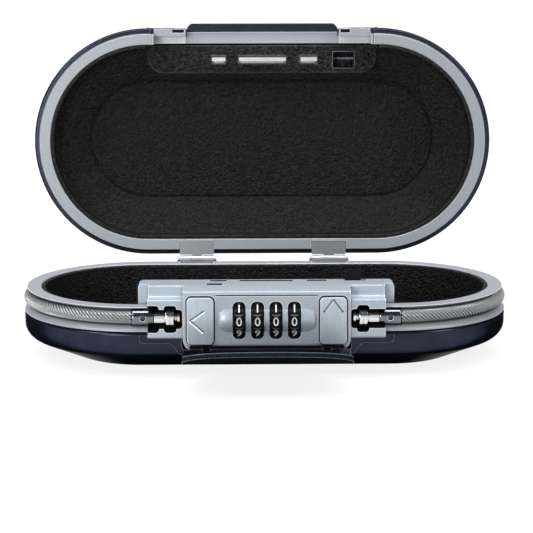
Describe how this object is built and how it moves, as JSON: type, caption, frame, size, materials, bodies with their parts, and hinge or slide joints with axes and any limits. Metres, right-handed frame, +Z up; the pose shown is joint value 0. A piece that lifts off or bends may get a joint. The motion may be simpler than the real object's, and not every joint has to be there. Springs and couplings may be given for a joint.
{
  "type": "portable car safe",
  "caption": "Pill-shaped portable safe with a rear-hinged lid, combination dial lock, hinged front cover and a security cable stowed in a groove round its rim.",
  "frame": {"origin": "middle of the flat bottom of the base", "axes": "+Z up, +X along the safe's length to the right as its lock is faced, -Y towards the lock, +Y towards the lid's hinges"},
  "size_m": [0.2404, 0.19, 0.1583],
  "materials": {
    "shell": "satin black-blue moulding",
    "rim": "silver, satin",
    "foam": "fine-grained black foam",
    "zinc": "satin die casting",
    "button": "brushed",
    "steel": "zinc plated",
    "chrome": "bright nickel",
    "black": "grained moulding",
    "dial": "satin moulding",
    "cover": "grained moulding",
    "cable": "strand in clear vinyl"
  },
  "bodies": {
    "base": {"base_shell": "shell", "base_rim": "rim", "base_liner": "foam", "lock_case": "zinc", "lock_back_plate": "steel", "dial_shaft": "steel", "latch_spring": "steel", "cable": "cable", "cable_plug_right": "chrome", "cable_plug_left": "chrome", "ferrule_right": "chrome", "ferrule_left": "chrome", "back_plate_screw_1": "steel", "back_plate_screw_2": "steel", "back_plate_screw_3": "steel", "back_plate_screw_4": "steel", "base_hinge_leaf_left": "steel", "base_hinge_leaf_right": "steel", "hinge_pin_left": "steel", "hinge_pin_right": "steel", "cover_pin": "steel"},
    "lid": {"lid_shell": "shell", "lid_rim": "rim", "lid_liner": "foam", "lid_bezel": "rim", "latch_block": "black", "strike_plate": "chrome", "lid_hinge_leaf_left": "steel", "lid_hinge_leaf_right": "steel"},
    "cover": {"front_cover": "cover"},
    "dial_1": {"dial_1": "dial"},
    "dial_2": {"dial_2": "dial"},
    "dial_3": {"dial_3": "dial"},
    "dial_4": {"dial_4": "dial"},
    "open_button": {"open_button": "button"},
    "cable_button": {"cable_button": "button"},
    "latch_bolt": {"latch_bolt": "steel"},
    "change_lever": {"change_lever": "black"}
  },
  "joints": [
    {"name": "lid_hinge", "type": "hinge", "parent": "base", "child": "lid", "pos_m": [0, 0.0622, 0.0348], "axis": [1, 0, 0], "range_deg": [0, 92]},
    {"name": "cover_hinge", "type": "hinge", "parent": "base", "child": "cover", "pos_m": [0, -0.06515, 0.0154], "axis": [-1, 0, 0], "range_deg": [0, 83]},
    {"name": "dial_1_spin", "type": "hinge", "parent": "base", "child": "dial_1", "pos_m": [-0.01305, -0.0558, 0.029], "axis": [1, 0, 0], "continuous": true},
    {"name": "dial_2_spin", "type": "hinge", "parent": "base", "child": "dial_2", "pos_m": [-0.00435, -0.0558, 0.029], "axis": [1, 0, 0], "continuous": true},
    {"name": "dial_3_spin", "type": "hinge", "parent": "base", "child": "dial_3", "pos_m": [0.00435, -0.0558, 0.029], "axis": [1, 0, 0], "continuous": true},
    {"name": "dial_4_spin", "type": "hinge", "parent": "base", "child": "dial_4", "pos_m": [0.01305, -0.0558, 0.029], "axis": [1, 0, 0], "continuous": true},
    {"name": "open_button_slide", "type": "slide", "parent": "base", "child": "open_button", "axis": [0, 0, 1], "range_m": [0, 0.003], "stiffness_N_per_m": 250, "springref_m": -0.002},
    {"name": "cable_button_slide", "type": "slide", "parent": "base", "child": "cable_button", "axis": [-1, 0, 0], "range_m": [0, 0.002], "stiffness_N_per_m": 250, "springref_m": -0.002},
    {"name": "latch_bolt_slide", "type": "slide", "parent": "base", "child": "latch_bolt", "axis": [-1, 0, 0], "range_m": [0, 0.0026], "deforming": ["latch_spring"]},
    {"name": "change_lever_slide", "type": "slide", "parent": "base", "child": "change_lever", "axis": [1, 0, 0], "range_m": [0, 0.0025]}
  ]
}
